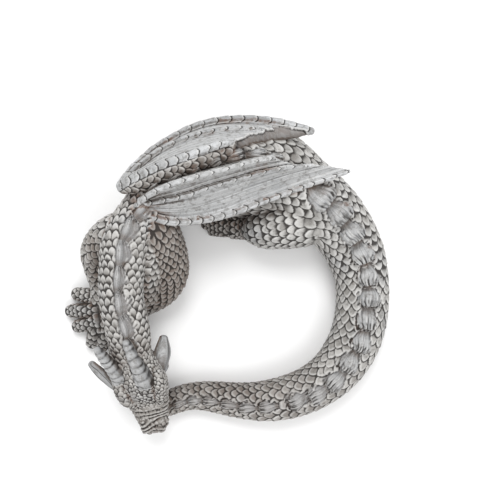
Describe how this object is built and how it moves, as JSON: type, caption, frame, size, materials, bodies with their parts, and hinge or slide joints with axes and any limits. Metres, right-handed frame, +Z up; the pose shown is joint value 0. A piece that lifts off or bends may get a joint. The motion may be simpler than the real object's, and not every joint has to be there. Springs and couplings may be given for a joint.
{
  "type": "dragon garden statue",
  "caption": "Dragon curled into an open ring, cast in stone-grey resin: scaled body, finned back, ribbed horns, two folded bat wings, and its chin resting on the tip of its tail.",
  "frame": {"origin": "on the floor, under the middle of the statue's outline", "axes": "+Z up, face and tail tip towards -Y, forepaws towards -X, wings along the +Y side"},
  "size_m": [0.2554, 0.2404, 0.0999],
  "materials": {
    "resin": "matte grey stone finish with brown patina in the hollows"
  },
  "bodies": {
    "root": {"dragon": "resin"}
  },
  "joints": []
}
